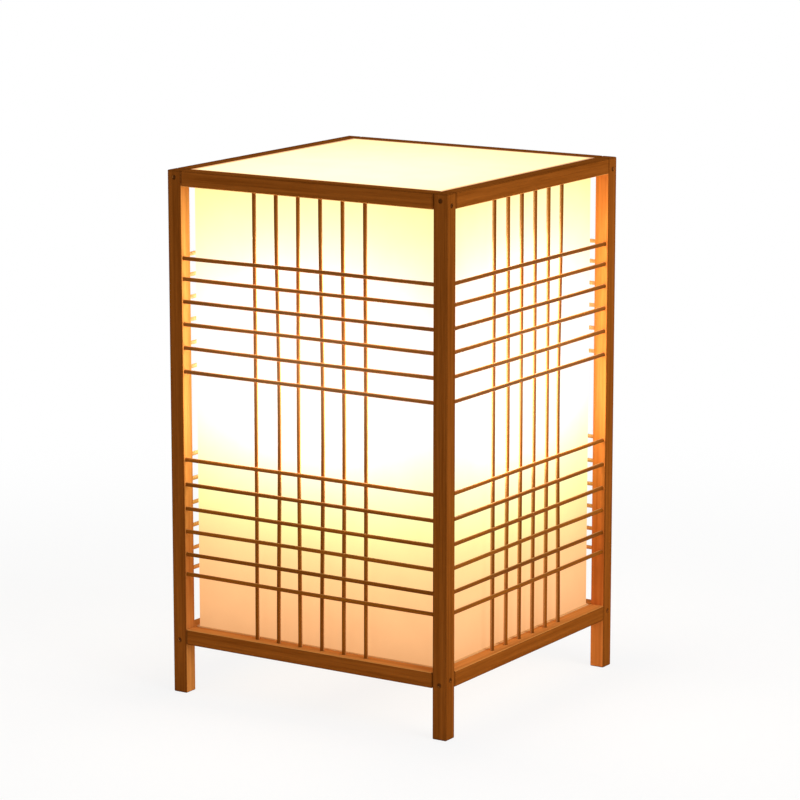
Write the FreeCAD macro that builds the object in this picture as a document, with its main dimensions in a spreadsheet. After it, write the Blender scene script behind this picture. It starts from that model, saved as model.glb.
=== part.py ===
"""Square bedside lamp with a slim wooden frame, a bamboo lattice and a glowing inner shade.

Four posts and eight rails make a butt-jointed box frame, held by brads.  Each side carries a
lattice of round rods: one cluster of uprights and two groups of crosspieces.  Behind the lattice,
slim battens hold four flat diffuser panels, and a square sheet lies on them between the top rails.
A crossbar housed in the front and back bottom rails carries a screw lampholder with its bulb.

Millimetres.  +Z is up, the origin is on the floor under the middle of the lamp, and the front
side faces -Y.
"""
import FreeCAD, Part
import os
import Sketcher

doc = FreeCAD.newDocument("bedside_lamp")

# Driving dimensions
SIZES = (
    ("width", 152.0, "outside width and depth over the posts"),
    ("height", 249.3, "floor to the top of the posts and top rails"),
    ("stick_side", 7.3, "side of the square posts, and depth of the rails"),
    ("rail_height", 7.4, "height of every rail"),
    ("leg_length", 23.8, "floor to the underside of the bottom rails"),
    ("arris", 0.35, "eased edges of the posts, rails and crossbar"),
    ("joint_gap", 0.1, "glue line between pieces that are joined flat"),
    ("butt_gap", 0.25, "gap between a rail end and its post"),
    ("tool_overrun", 1.0, "how far a cutter runs past an open face"),
    ("brad_shank", 1.1, "brad shank diameter"),
    ("brad_head", 1.6, "brad head diameter"),
    ("brad_head_thickness", 0.6, "brad head thickness"),
    ("brad_sink", 0.3, "depth of a brad head below the face of the post"),
    ("brad_length", 19.0, "brad length under its head"),
    ("brad_clearance", 0.03, "radial room round a brad"),
    ("brad_low", 1.9, "lower brad above the underside of its rail"),
    ("brad_high", 4.1, "upper brad above the underside of its rail"),
    ("rod_diameter", 2.0, "bamboo rod diameter"),
    ("rod_clearance", 0.04, "radial room round a rod in its hole"),
    ("rod_seat", 3.0, "length of a rod inside the wood at each end"),
    ("hole_end_room", 0.3, "room between a rod or brad and the bottom of its hole"),
    ("horizontal_setback", 2.0, "outside face of the frame to the middle of a crosspiece"),
    ("crossing_gap", 0.1, "gap where a crosspiece passes in front of an upright"),
    ("upright_pitch", 12.1, "spacing of the uprights in their cluster"),
    ("side_cluster_shift", 1.0, "how far the cluster on the left and right sides is off the middle"),
    ("upper_rod_1", 33.6, "underside of the top rails down to each upper crosspiece"),
    ("upper_rod_2", 43.3, ""),
    ("upper_rod_3", 53.9, ""),
    ("upper_rod_4", 64.6, ""),
    ("upper_rod_5", 75.7, ""),
    ("upper_rod_6", 87.0, ""),
    ("lower_rod_1", 81.8, "top of the bottom rails up to each lower crosspiece"),
    ("lower_rod_2", 69.9, ""),
    ("lower_rod_3", 58.3, ""),
    ("lower_rod_4", 47.3, ""),
    ("lower_rod_5", 36.2, ""),
    ("lower_rod_6", 26.6, ""),
    ("batten_thickness", 1.5, "battens between the rails and the diffuser"),
    ("sheet_thickness", 0.6, "diffuser sheet"),
    ("sheet_drop", 0.2, "top of the rails down to the top sheet"),
    ("crossbar_width", 20.0, "crossbar across its grain, slim enough for the bulb to pass beside it"),
    ("crossbar_thickness", 5.0, "crossbar thickness"),
    ("crossbar_wall", 0.5, "wood left between a crossbar end and the holes of the uprights"),
    ("nipple_diameter", 9.9, "hollow threaded tube that clamps the lampholder"),
    ("nipple_bore", 7.2, "cord way through the tube"),
    ("nipple_clearance", 0.1, "radial room round the tube"),
    ("nipple_spare", 2.5, "tube that shows below the lower nut and above the upper one"),
    ("nut_flats", 14.0, "across the flats of the lock nuts"),
    ("nut_thickness", 3.0, "lock nut thickness"),
    ("washer_diameter", 18.0, "washer under the crossbar"),
    ("washer_thickness", 1.0, "washer thickness"),
    ("holder_diameter", 38.0, "lampholder outside diameter"),
    ("holder_height", 50.4, "lampholder base to mouth"),
    ("holder_floor", 2.5, "floor of the lampholder base"),
    ("holder_bore", 31.2, "inside diameter of the lampholder shell"),
    ("insert_ledge", 11.5, "floor of the base to the ledge that carries the insert"),
    ("insert_diameter", 34.0, "flange of the insulating insert"),
    ("insert_flange", 7.0, "flange height of the insert"),
    ("insert_boss", 26.4, "boss diameter of the insert"),
    ("insert_boss_height", 5.0, "boss height of the insert"),
    ("insert_cover", 6.0, "how much of the flange the base covers"),
    ("ledge_width", 1.8, "width of the ledge in the base"),
    ("fit_gap", 0.2, "radial room between parts that slide together by hand"),
    ("screw_shell_height", 27.0, "height of the screw shell"),
    ("screw_shell_wall", 0.4, "wall of the screw shell"),
    ("contact_diameter", 8.0, "centre contact"),
    ("contact_height", 2.0, "centre contact above the insert"),
    ("rivet_diameter", 3.0, "rivet of the centre contact"),
    ("rivet_length", 9.0, "rivet inside the insert"),
    ("terminal_spread", 18.0, "distance between the two terminal screws"),
    ("terminal_shank", 3.0, "terminal screw thread"),
    ("terminal_head", 5.6, "terminal screw head diameter"),
    ("terminal_head_height", 1.8, "terminal screw head height"),
    ("terminal_length", 5.5, "terminal screw inside the insert"),
    ("contact_gap", 0.3, "gap between the centre contact and the bulb at rest"),
    ("bulb_height", 108.0, "bulb, contact to crown"),
    ("globe_radius", 27.5, "outside radius of the globe"),
    ("globe_wall", 1.2, "globe wall"),
    ("globe_drop", 12.0, "globe centre down to its rim"),
    ("tip_diameter", 9.5, "bulb contact"),
    ("tip_height", 1.5, "bulb contact height"),
    ("insulator_foot", 12.0, "insulator diameter at the contact"),
    ("insulator_height", 5.0, "insulator below the cap"),
    ("insulator_plug", 2.0, "insulator inside the cap"),
    ("cap_height", 26.6, "bulb contact to the top of the cap"),
    ("cap_diameter", 25.8, "bulb cap, without its thread"),
    ("cap_wall", 0.5, "bulb cap wall"),
    ("neck_length", 4.0, "housing inside the cap"),
    ("housing_wall", 1.5, "housing wall at the neck"),
    ("shoulder_step", 0.8, "shoulder of the housing over the cap"),
    ("shoulder_height", 3.0, "straight part of the shoulder"),
    ("housing_rim", 2.5, "rim of the housing round the board"),
    ("board_recess", 3.0, "depth of the board below the rim"),
    ("board_ledge", 2.0, "ledge under the board"),
    ("board_thickness", 1.5, "light board"),
    ("chip_side", 3.0, "light chip side"),
    ("chip_height", 0.7, "light chip height"),
    ("chip_ring", 16.0, "radius of the ring of chips"),
    ("driver_width", 16.0, "driver card width"),
    ("driver_height", 30.0, "driver card height"),
    ("driver_thickness", 1.6, "driver card thickness"),
    ("driver_rise", 0.3, "insulator to the foot of the driver card"),
)
CHIP_COUNT = 12
RODS_PER_GROUP = 6

dims = doc.addObject("Spreadsheet::Sheet", "dims")
for row, (alias, value, meaning) in enumerate(SIZES, start=1):
    dims.set(f"A{row}", meaning)
    dims.set(f"B{row}", str(value))
    dims.setAlias(f"B{row}", alias)
doc.recompute()

# Places worked out from the driving dimensions
HALF = "(dims.width / 2)"
INSIDE = f"({HALF} - dims.stick_side)"
LOW_TOP = "(dims.leg_length + dims.rail_height)"
TOP_BASE = "(dims.height - dims.rail_height)"
ROD_RADIUS = "(dims.rod_diameter / 2)"
ROD_HOLE = f"({ROD_RADIUS} + dims.rod_clearance)"
ROD_DEPTH = "(dims.rod_seat + dims.hole_end_room)"
CROSSPIECE_Y = f"(dims.horizontal_setback - {HALF})"
UPRIGHT_Y = f"({CROSSPIECE_Y} + dims.rod_diameter + dims.crossing_gap)"
BATTEN_FACE = f"({INSIDE} - dims.joint_gap)"
BATTEN_BACK = f"({BATTEN_FACE} - dims.batten_thickness)"
PANEL_FACE = f"({BATTEN_BACK} - dims.joint_gap)"
PANEL_BACK = f"({PANEL_FACE} - dims.sheet_thickness)"
SHEET_BASE = "(dims.height - dims.sheet_drop - dims.sheet_thickness)"
SHADE_TOP = f"({SHEET_BASE} - dims.joint_gap)"
CROSSBAR_TOP = "(dims.leg_length + dims.crossbar_thickness)"
CROSSBAR_END = f"(-{UPRIGHT_Y} - {ROD_HOLE} - dims.crossbar_wall)"
SHADE_BASE = f"({CROSSBAR_TOP} + dims.joint_gap)"
NIPPLE_HOLE = "(dims.nipple_diameter / 2 + dims.nipple_clearance)"
HOLDER_RADIUS = "(dims.holder_diameter / 2)"
FLOOR_TOP = f"({CROSSBAR_TOP} + dims.holder_floor)"
LEDGE_Z = f"({CROSSBAR_TOP} + dims.insert_ledge)"
BASE_TOP = f"({LEDGE_Z} + dims.insert_cover)"
INSERT_RADIUS = "(dims.insert_diameter / 2)"
INSERT_BORE = f"({INSERT_RADIUS} + dims.fit_gap)"
FLANGE_TOP = f"({LEDGE_Z} + dims.insert_flange)"
BOSS_RADIUS = "(dims.insert_boss / 2)"
BOSS_TOP = f"({FLANGE_TOP} + dims.insert_boss_height)"
SCREW_SHELL_BORE = f"({BOSS_RADIUS} + dims.fit_gap)"
TIP_Z = f"({BOSS_TOP} + dims.contact_height + dims.contact_gap)"
INSULATOR_Z = f"({TIP_Z} + dims.tip_height + dims.joint_gap)"
CAP_Z = f"({INSULATOR_Z} + dims.insulator_height)"
CAP_TOP = f"({TIP_Z} + dims.cap_height)"
CAP_RADIUS = "(dims.cap_diameter / 2)"
CAP_BORE = f"({CAP_RADIUS} - dims.cap_wall)"
PLUG_RADIUS = f"({CAP_BORE} - dims.joint_gap)"
PLUG_TOP = f"({CAP_Z} + dims.insulator_plug)"
GLOBE_Z = f"({TIP_Z} + dims.bulb_height - dims.globe_radius)"
SEAM_Z = f"({GLOBE_Z} - dims.globe_drop)"
SEAM_RADIUS = "(sqrt(dims.globe_radius * dims.globe_radius - dims.globe_drop * dims.globe_drop))"
RIM_Z = f"({SEAM_Z} - dims.joint_gap)"
RECESS_RADIUS = f"({SEAM_RADIUS} - dims.housing_rim)"
BOARD_Z = f"({RIM_Z} - dims.board_recess)"

ALONG = {
    "x": FreeCAD.Rotation(FreeCAD.Vector(0, 1, 0), 90),
    "y": FreeCAD.Rotation(FreeCAD.Vector(1, 0, 0), -90),
    "z": FreeCAD.Rotation(),
}
SIDES = ("front", "right", "back", "left")
POSTS = ("post_front_right", "post_back_right", "post_back_left", "post_front_left")
parts = []


def bind(obj, **sizes):
    """Bind properties of an object to expressions on the sheet."""
    for name, expression in sizes.items():
        obj.setExpression(name, expression)


def put(obj, x, y, z):
    """Bind the place of an object to expressions on the sheet."""
    obj.setExpression("Placement.Base.x", x)
    obj.setExpression("Placement.Base.y", y)
    obj.setExpression("Placement.Base.z", z)


def box(name, size, corner):
    """A plain block from its lowest corner."""
    block = doc.addObject("Part::Box", name)
    bind(block, Length=size[0], Width=size[1], Height=size[2])
    put(block, *corner)
    return block


def stick(name, size, corner):
    """A planed stick: a block whose edges are all eased."""
    body = doc.addObject("PartDesign::Body", name)
    block = body.newObject("PartDesign::AdditiveBox", f"{name}_block")
    bind(block, Length=size[0], Width=size[1], Height=size[2])
    doc.recompute()
    eased = body.newObject("PartDesign::Chamfer", f"{name}_arris")
    eased.Base = (block, [f"Edge{number + 1}" for number in range(len(block.Shape.Edges))])
    bind(eased, Size="dims.arris")
    put(body, *corner)
    return body


def pin(name, axis, radius, length, start):
    """A cylinder that starts at a point and runs along +axis."""
    cylinder = doc.addObject("Part::Cylinder", name)
    cylinder.Placement = FreeCAD.Placement(FreeCAD.Vector(), ALONG[axis])
    bind(cylinder, Radius=radius, Height=length)
    put(cylinder, *start)
    return cylinder


def group(name, members):
    """Several separate solids kept together."""
    compound = doc.addObject("Part::Compound", name)
    compound.Links = members
    return compound


def cut(name, base, tools):
    """A piece with every tool taken out of it."""
    piece = doc.addObject("Part::Cut", name)
    piece.Base = base
    piece.Tool = group(f"{name}_tools", tools)
    return piece


def fuse(name, members):
    """Several touching shapes made one solid."""
    piece = doc.addObject("Part::MultiFuse", name)
    piece.Shapes = members
    return piece


def part(obj, label):
    """Hand a finished object over as a piece of the lamp."""
    obj.Label = label
    parts.append(obj)
    return obj


def turned(name, master, quarter):
    """A copy of a front piece, turned about the lamp's middle by quarter turns."""
    copy = group(name, [master])
    turn = FreeCAD.Rotation(FreeCAD.Vector(0, 0, 1), 90 * quarter)
    copy.Placement = FreeCAD.Placement(FreeCAD.Vector(), turn)
    return copy


def at_side(label, master, quarter):
    """A turned copy of a front piece, handed over under its own name."""
    return part(turned(label, master, quarter), label)


def lathe(name, outline):
    """A closed outline of (radius, height) expressions turned once about the lamp's middle."""
    body = doc.addObject("PartDesign::Body", name)
    sketch = body.newObject("Sketcher::SketchObject", f"{name}_outline")
    plane = next(item for item in body.Origin.OriginFeatures if item.Role == "XZ_Plane")
    sketch.AttachmentSupport = [(plane, "")]
    sketch.MapMode = "FlatFace"
    corners = []
    for radius, height in outline:
        corners.append(FreeCAD.Vector(dims.evalExpression(radius), dims.evalExpression(height), 0))
    count = len(corners)
    for index in range(count):
        sketch.addGeometry(Part.LineSegment(corners[index], corners[(index + 1) % count]))
    for index in range(count):
        sketch.addConstraint(Sketcher.Constraint("Coincident", index, 2, (index + 1) % count, 1))
    for index, (radius, height) in enumerate(outline):
        if radius == "0":
            sketch.addConstraint(Sketcher.Constraint("PointOnObject", index, 1, -2))
        else:
            across = Sketcher.Constraint("DistanceX", -1, 1, index, 1, corners[index].x)
            sketch.setExpression(f"Constraints[{sketch.addConstraint(across)}]", radius)
        up = Sketcher.Constraint("DistanceY", -1, 1, index, 1, corners[index].y)
        sketch.setExpression(f"Constraints[{sketch.addConstraint(up)}]", height)
    turned = body.newObject("PartDesign::Revolution", f"{name}_turned")
    turned.Profile = sketch
    turned.ReferenceAxis = (sketch, ["V_Axis"])
    turned.Angle = 360
    return part(body, name)


def upright_places(shift):
    """Sideways places of a side's uprights: an even cluster, moved by a shift."""
    middle = (RODS_PER_GROUP - 1) / 2
    return [f"({shift} + {index - middle} * dims.upright_pitch)" for index in range(RODS_PER_GROUP)]


def crosspiece_heights():
    """Heights of the upper and the lower group of crosspieces."""
    upper = [f"({TOP_BASE} - dims.upper_rod_{index + 1})" for index in range(RODS_PER_GROUP)]
    lower = [f"({LOW_TOP} + dims.lower_rod_{index + 1})" for index in range(RODS_PER_GROUP)]
    return upper, lower


# Which brad is the high one: on the front and back faces the top one is high and the bottom one
# low, and on the left and right faces the other way round, so that two brads never meet in a post
TOP_ON_FRONT = f"({TOP_BASE} + dims.brad_high)"
TOP_ON_SIDE = f"({TOP_BASE} + dims.brad_low)"
LOW_ON_FRONT = "(dims.leg_length + dims.brad_low)"
LOW_ON_SIDE = "(dims.leg_length + dims.brad_high)"
BRAD_HOLE = "(dims.brad_shank / 2 + dims.brad_clearance)"
BRAD_HEAD_HOLE = "(dims.brad_head / 2 + dims.brad_clearance)"
BRAD_HEAD_DEPTH = "(dims.brad_sink + dims.brad_head_thickness)"
BRAD_REACH = f"({BRAD_HEAD_DEPTH} + dims.brad_length)"
POST_MIDDLE = f"({HALF} - dims.stick_side / 2)"


def brad_on_first_face(name, height, shank, head, head_start, reach):
    """A brad, or its hole, driven along +Y into the front face of the front right post."""
    outer = f"(-{HALF} + {head_start})"
    under = f"({BRAD_HEAD_DEPTH} - {head_start})"
    top = pin(f"{name}_head", "y", head, under, (POST_MIDDLE, outer, height))
    stem = pin(f"{name}_stem", "y", shank, f"({reach} - {head_start})", (POST_MIDDLE, outer, height))
    return fuse(name, [top, stem])


def brad_on_second_face(name, height, shank, head, head_start, reach):
    """A brad, or its hole, driven along -X into the right face of the front right post."""
    outer = f"({HALF} - {head_start})"
    under = f"({BRAD_HEAD_DEPTH} - {head_start})"
    long = f"({reach} - {head_start})"
    top = pin(f"{name}_head", "x", head, under, (f"({outer} - {under})", f"(-{POST_MIDDLE})", height))
    stem = pin(f"{name}_stem", "x", shank, long, (f"({outer} - {long})", f"(-{POST_MIDDLE})", height))
    return fuse(name, [top, stem])


def brad_holes(name, first_heights, second_heights):
    """The holes that the brads need in one post, open at the outside."""
    tools = []
    for index, height in enumerate(first_heights):
        tools.append(brad_on_first_face(f"{name}_first_{index + 1}", height, BRAD_HOLE,
                                        BRAD_HEAD_HOLE, "(-dims.tool_overrun)", BRAD_REACH))
    for index, height in enumerate(second_heights):
        tools.append(brad_on_second_face(f"{name}_second_{index + 1}", height, BRAD_HOLE,
                                         BRAD_HEAD_HOLE, "(-dims.tool_overrun)", BRAD_REACH))
    return tools


def make_posts():
    """Four posts, drilled for the crosspieces and the brads."""
    upper, lower = crosspiece_heights()
    front_heights = (TOP_ON_FRONT, LOW_ON_FRONT)
    side_heights = (TOP_ON_SIDE, LOW_ON_SIDE)
    masters = []
    for name, first, second in (("post_a", front_heights, side_heights),
                                ("post_b", side_heights, front_heights)):
        blank = stick(f"{name}_blank", ("dims.stick_side", "dims.stick_side", "dims.height"),
                      (INSIDE, f"(-{HALF})", "0"))
        tools = brad_holes(f"{name}_brad", first, second)
        drill = f"({ROD_DEPTH} + dims.tool_overrun)"
        for index, height in enumerate(upper + lower):
            tools.append(pin(f"{name}_front_hole_{index + 1}", "x", ROD_HOLE, drill,
                             (f"({INSIDE} - dims.tool_overrun)", CROSSPIECE_Y, height)))
            tools.append(pin(f"{name}_side_hole_{index + 1}", "y", ROD_HOLE, drill,
                             (f"(-{CROSSPIECE_Y})", f"(-{INSIDE} - {ROD_DEPTH})", height)))
        masters.append(cut(name, blank, tools))
    for quarter, label in enumerate(POSTS):
        at_side(label, masters[quarter % 2], quarter)


def make_rails():
    """Four top and four bottom rails, drilled for the uprights and the brads."""
    length = f"(2 * {INSIDE} - 2 * dims.butt_gap)"
    size = (length, "dims.stick_side", "dims.rail_height")
    depth = f"({ROD_DEPTH} + dims.tool_overrun)"
    for quarter, side in enumerate(SIDES):
        across = quarter % 2 == 0
        shift = "0" if across else "dims.side_cluster_shift"
        for level, base, brad_height, hole_start in (
            ("top", TOP_BASE, TOP_ON_SIDE if across else TOP_ON_FRONT,
             f"({TOP_BASE} - dims.tool_overrun)"),
            ("bottom", "dims.leg_length", LOW_ON_SIDE if across else LOW_ON_FRONT,
             f"({LOW_TOP} - {ROD_DEPTH})"),
        ):
            name = f"{side}_{level}"
            blank = stick(f"{name}_blank", size, (f"(-{length} / 2)", f"(-{HALF})", base))
            tools = []
            for index, place in enumerate(upright_places(shift)):
                tools.append(pin(f"{name}_hole_{index + 1}", "z", ROD_HOLE, depth,
                                 (place, UPRIGHT_Y, hole_start)))
            for end, start in (("left", f"(-{HALF})"), ("right", f"({HALF} - {BRAD_REACH})")):
                tools.append(pin(f"{name}_{end}_brad_hole", "x", BRAD_HOLE, BRAD_REACH,
                                 (start, f"(-{POST_MIDDLE})", brad_height)))
            if level == "bottom" and across:
                tools.append(crossbar_housing(name))
            at_side(f"{level}_rail_{side}", cut(f"{name}_rail", blank, tools), quarter)


def crossbar_housing(name):
    """The notch in a bottom rail, open below and behind, that takes a crossbar end."""
    width = "(dims.crossbar_width + 2 * dims.joint_gap)"
    depth = f"({CROSSBAR_END} + dims.joint_gap - {INSIDE} + dims.tool_overrun)"
    tall = "(dims.crossbar_thickness + dims.joint_gap + dims.tool_overrun)"
    return box(f"{name}_housing", (width, depth, tall),
               (f"(-{width} / 2)", f"(-{CROSSBAR_END} - dims.joint_gap)",
                "(dims.leg_length - dims.tool_overrun)"))


def make_brads():
    """Sixteen brads, one through each post into each rail end."""
    levels = (("top", TOP_ON_FRONT, TOP_ON_SIDE), ("bottom", LOW_ON_FRONT, LOW_ON_SIDE))
    shank = "(dims.brad_shank / 2)"
    head = "(dims.brad_head / 2)"
    reach = f"({BRAD_REACH} - dims.hole_end_room)"
    for level, on_front, on_side in levels:
        corners = []
        for quarter, label in enumerate(POSTS):
            first, second = (on_front, on_side) if quarter % 2 == 0 else (on_side, on_front)
            name = f"{level}_{label}_brad"
            pair = group(f"{name}_pair", [
                brad_on_first_face(f"{name}_1", first, shank, head, "dims.brad_sink", reach),
                brad_on_second_face(f"{name}_2", second, shank, head, "dims.brad_sink", reach),
            ])
            corners.append(turned(f"{name}s", pair, quarter))
        part(group(f"{level}_joint_brads", corners), f"{level}_joint_brads")


def make_lattice():
    """The rods of every side: uprights behind, two groups of crosspieces in front."""
    upper, lower = crosspiece_heights()
    upright_base = f"({LOW_TOP} - dims.rod_seat)"
    upright_length = f"({TOP_BASE} - {LOW_TOP} + 2 * dims.rod_seat)"
    reach = f"({INSIDE} + dims.rod_seat)"
    for quarter, side in enumerate(SIDES):
        shift = "0" if quarter % 2 == 0 else "dims.side_cluster_shift"
        uprights = []
        for index, place in enumerate(upright_places(shift)):
            uprights.append(pin(f"{side}_upright_{index + 1}", "z", ROD_RADIUS, upright_length,
                                (place, UPRIGHT_Y, upright_base)))
        at_side(f"lattice_uprights_{side}", group(f"{side}_uprights", uprights), quarter)
        for level, heights in (("upper", upper), ("lower", lower)):
            rods = []
            for index, height in enumerate(heights):
                rods.append(pin(f"{side}_{level}_rod_{index + 1}", "x", ROD_RADIUS, f"(2 * {reach})",
                                (f"(-{reach})", CROSSPIECE_Y, height)))
            at_side(f"lattice_{level}_crosspieces_{side}", group(f"{side}_{level}_rods", rods), quarter)


def make_shade():
    """Battens inside the rails, four diffuser panels glued to them and the sheet that lies on both."""
    levels = (("upper", TOP_BASE, SHADE_TOP), ("lower", SHADE_BASE, LOW_TOP))
    tall = f"({SHADE_TOP} - {SHADE_BASE})"
    for quarter, side in enumerate(SIDES):
        for level, base, top in levels:
            batten = box(f"{side}_{level}_batten",
                         (f"(2 * {PANEL_FACE})", "dims.batten_thickness", f"({top} - {base})"),
                         (f"(-{PANEL_FACE})", f"(-{BATTEN_FACE})", base))
            at_side(f"{level}_batten_{side}", batten, quarter)
        half = PANEL_FACE if quarter % 2 == 0 else f"({PANEL_BACK} - dims.joint_gap)"
        panel = box(f"{side}_panel",
                    (f"(2 * {half})", "dims.sheet_thickness", tall),
                    (f"(-{half})", f"(-{PANEL_FACE})", SHADE_BASE))
        at_side(f"diffuser_{side}", panel, quarter)
    sheet = box("sheet", (f"(2 * {BATTEN_FACE})", f"(2 * {BATTEN_FACE})", "dims.sheet_thickness"),
                (f"(-{BATTEN_FACE})", f"(-{BATTEN_FACE})", SHEET_BASE))
    part(sheet, "diffuser_top")


def make_crossbar():
    """The bar that carries the lampholder, let into the front and back bottom rails."""
    bar = stick("crossbar_blank",
                ("dims.crossbar_width", f"(2 * {CROSSBAR_END})", "dims.crossbar_thickness"),
                ("(-dims.crossbar_width / 2)", f"(-{CROSSBAR_END})", "dims.leg_length"))
    hole = pin("crossbar_hole", "z", NIPPLE_HOLE,
               "(dims.crossbar_thickness + 2 * dims.tool_overrun)",
               ("0", "0", "(dims.leg_length - dims.tool_overrun)"))
    part(cut("crossbar", bar, [hole]), "crossbar")


def lock_nut(label, base):
    """A six-sided nut on the hollow tube."""
    blank = doc.addObject("Part::Prism", f"{label}_blank")
    blank.Polygon = 6
    bind(blank, Circumradius="(dims.nut_flats / sqrt(3))", Height="dims.nut_thickness")
    put(blank, "0", "0", base)
    hole = pin(f"{label}_hole", "z", NIPPLE_HOLE, "(dims.nut_thickness + 2 * dims.tool_overrun)",
               ("0", "0", f"({base} - dims.tool_overrun)"))
    part(cut(label, blank, [hole]), label)


def make_lampholder():
    """A screw lampholder clamped to the crossbar by a hollow tube, a washer and two nuts."""
    washer_base = "(dims.leg_length - dims.washer_thickness)"
    nut_base = f"({washer_base} - dims.nut_thickness)"
    tube_base = f"({nut_base} - dims.nipple_spare)"
    tube_top = f"({FLOOR_TOP} + dims.nut_thickness + dims.nipple_spare)"
    lathe("holder_nipple", (
        ("(dims.nipple_bore / 2)", tube_base),
        ("(dims.nipple_diameter / 2)", tube_base),
        ("(dims.nipple_diameter / 2)", tube_top),
        ("(dims.nipple_bore / 2)", tube_top),
    ))
    lathe("holder_washer", (
        (NIPPLE_HOLE, washer_base),
        ("(dims.washer_diameter / 2)", washer_base),
        ("(dims.washer_diameter / 2)", "dims.leg_length"),
        (NIPPLE_HOLE, "dims.leg_length"),
    ))
    lock_nut("holder_lower_nut", nut_base)
    lock_nut("holder_upper_nut", FLOOR_TOP)
    ledge = f"({INSERT_RADIUS} - dims.ledge_width)"
    lathe("holder_base", (
        (NIPPLE_HOLE, CROSSBAR_TOP),
        (HOLDER_RADIUS, CROSSBAR_TOP),
        (HOLDER_RADIUS, BASE_TOP),
        (INSERT_BORE, BASE_TOP),
        (INSERT_BORE, LEDGE_Z),
        (ledge, LEDGE_Z),
        (ledge, FLOOR_TOP),
        (NIPPLE_HOLE, FLOOR_TOP),
    ))
    shell_base = f"({BASE_TOP} + dims.joint_gap)"
    shoulder = f"({FLANGE_TOP} + dims.joint_gap)"
    mouth = f"({CROSSBAR_TOP} + dims.holder_height)"
    lathe("holder_shell", (
        (INSERT_BORE, shell_base),
        (HOLDER_RADIUS, shell_base),
        (HOLDER_RADIUS, mouth),
        ("(dims.holder_bore / 2)", mouth),
        ("(dims.holder_bore / 2)", shoulder),
        (INSERT_BORE, shoulder),
    ))
    flange = pin("insert_flange", "z", INSERT_RADIUS, "dims.insert_flange", ("0", "0", LEDGE_Z))
    boss = pin("insert_boss", "z", BOSS_RADIUS, "(dims.insert_flange + dims.insert_boss_height)",
               ("0", "0", LEDGE_Z))
    rivet_base = f"({BOSS_TOP} - dims.rivet_length)"
    tools = [pin("insert_rivet_hole", "z", "(dims.rivet_diameter / 2 + dims.joint_gap)",
                 "(dims.rivet_length + dims.joint_gap + dims.tool_overrun)",
                 ("0", "0", f"({rivet_base} - dims.joint_gap)"))]
    screws = []
    for name, place in (("left", "(-dims.terminal_spread / 2)"), ("right", "(dims.terminal_spread / 2)")):
        tools.append(pin(f"insert_{name}_hole", "z", "(dims.terminal_shank / 2 + dims.joint_gap)",
                         "(dims.terminal_length + dims.joint_gap + dims.tool_overrun)",
                         (place, "0", f"({LEDGE_Z} - dims.tool_overrun)")))
        head_base = f"({LEDGE_Z} - dims.terminal_head_height)"
        head = pin(f"terminal_{name}_head", "z", "(dims.terminal_head / 2)", "dims.terminal_head_height",
                   (place, "0", head_base))
        stem = pin(f"terminal_{name}_stem", "z", "(dims.terminal_shank / 2)",
                   "(dims.terminal_head_height + dims.terminal_length)", (place, "0", head_base))
        screws.append(fuse(f"terminal_{name}", [head, stem]))
    part(cut("holder_insert", fuse("insert_blank", [flange, boss]), tools), "holder_insert")
    part(group("holder_terminal_screws", screws), "holder_terminal_screws")
    screw_shell_top = f"({FLANGE_TOP} + dims.screw_shell_height)"
    screw_shell_outside = f"({SCREW_SHELL_BORE} + dims.screw_shell_wall)"
    lathe("holder_screw_shell", (
        (SCREW_SHELL_BORE, FLANGE_TOP),
        (screw_shell_outside, FLANGE_TOP),
        (screw_shell_outside, screw_shell_top),
        (SCREW_SHELL_BORE, screw_shell_top),
    ))
    head = pin("contact_head", "z", "(dims.contact_diameter / 2)", "dims.contact_height",
               ("0", "0", BOSS_TOP))
    rivet = pin("contact_rivet", "z", "(dims.rivet_diameter / 2)",
                "(dims.rivet_length + dims.contact_height)", ("0", "0", rivet_base))
    part(fuse("holder_centre_contact", [head, rivet]), "holder_centre_contact")


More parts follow.
